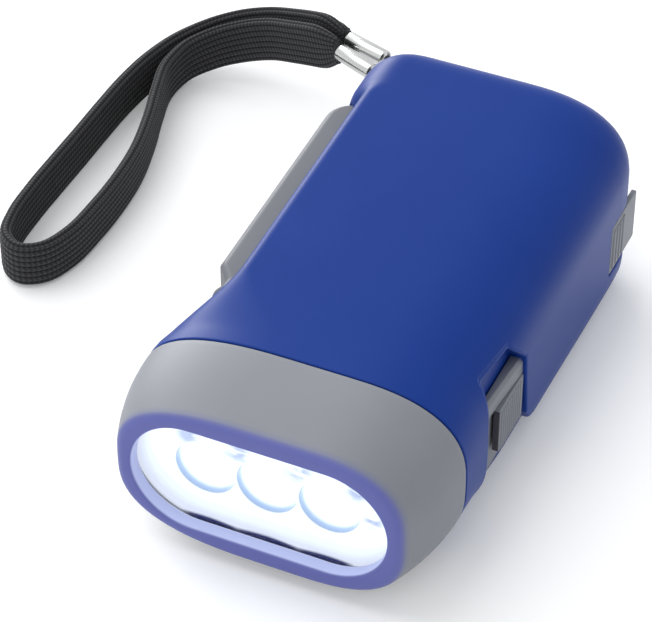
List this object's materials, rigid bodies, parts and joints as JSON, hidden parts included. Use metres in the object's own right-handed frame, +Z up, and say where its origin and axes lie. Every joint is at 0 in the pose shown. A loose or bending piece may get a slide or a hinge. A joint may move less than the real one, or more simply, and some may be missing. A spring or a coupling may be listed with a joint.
{
  "type": "hand crank flashlight",
  "caption": "Palm-held dynamo torch with a squeeze lever along one side, a wide row of lamps in a grey bezel, a thumb switch, a lever lock and a flat wrist strap.",
  "frame": {"origin": "middle of the case, on the flat underside it rests on", "axes": "+Z up from the underside, -Y out of the lamps, -X out of the squeeze lever"},
  "size_m": [0.111, 0.1306, 0.0376],
  "materials": {
    "blue_plastic": "satin blue",
    "grey_plastic": "fine matte grey",
    "clear_plastic": "clear",
    "metallised_plastic": "bright metallised",
    "dark_plastic": "matte",
    "gear_plastic": "natural white",
    "board": "green laminate",
    "steel": "plain steel",
    "ferrite": "dark sintered",
    "copper_winding": "enamelled wire",
    "polished_metal": "polished",
    "webbing": "black woven"
  },
  "bodies": {
    "case": {"top_shell": "blue_plastic", "bottom_shell": "blue_plastic", "bezel": "grey_plastic", "switch_plate": "grey_plastic", "lens": "clear_plastic", "led_1": "clear_plastic", "led_2": "clear_plastic", "led_3": "clear_plastic", "reflector": "metallised_plastic", "gear_plate": "dark_plastic", "cell_holder": "dark_plastic", "switch_unit": "dark_plastic", "led_board": "board", "circuit_board": "board", "lever_pin": "steel", "lever_spring": "steel", "drive_axle": "steel", "second_axle": "steel", "rotor_axle": "steel", "stator_core": "steel", "plate_screw_1": "steel", "plate_screw_2": "steel", "plate_screw_3": "steel", "button_cell_1": "steel", "button_cell_2": "steel", "strap_post": "steel", "case_screw_1": "steel", "case_screw_2": "steel", "case_screw_3": "steel", "case_screw_4": "steel", "generator_coil": "copper_winding", "ferrule_1": "polished_metal", "ferrule_2": "polished_metal", "strap_band": "webbing", "strap_cord": "webbing"},
    "lever": {"lever": "grey_plastic"},
    "drive": {"drive_gear": "gear_plastic"},
    "second": {"second_gear": "gear_plastic"},
    "rotor": {"rotor_pinion": "gear_plastic", "flywheel": "steel", "rotor_magnet": "ferrite"},
    "switch": {"switch_knob": "grey_plastic"},
    "lock": {"lock_slider": "grey_plastic"}
  },
  "joints": [
    {"name": "rotor_spin", "type": "hinge", "parent": "case", "child": "rotor", "pos_m": [0.00644, -0.00698, 0], "axis": [0, 0, -1], "range_deg": [0, 1440]},
    {"name": "lever_hinge", "type": "hinge", "parent": "case", "child": "lever", "pos_m": [-0.0195, -0.0205, 0], "axis": [0, 0, 1], "range_deg": [0, 20]},
    {"name": "drive_spin", "type": "hinge", "parent": "case", "child": "drive", "pos_m": [-0.0009, 0.01938, 0], "axis": [0, 0, 1], "range_deg": [-200, 0]},
    {"name": "second_spin", "type": "hinge", "parent": "case", "child": "second", "pos_m": [-0.0023, 0.00344, 0], "axis": [0, 0, 1], "range_deg": [0, 600]},
    {"name": "switch_slide", "type": "slide", "parent": "case", "child": "switch", "axis": [0, -1, 0], "range_m": [0, 0.004]},
    {"name": "lock_slide", "type": "slide", "parent": "case", "child": "lock", "axis": [0, 1, 0], "range_m": [0, 0.003]}
  ],
  "couplings": [
    {"joint": "lever_hinge", "follows": "rotor_spin", "ratio": 0.013889},
    {"joint": "drive_spin", "follows": "rotor_spin", "ratio": -0.13889},
    {"joint": "second_spin", "follows": "rotor_spin", "ratio": 0.41667}
  ]
}
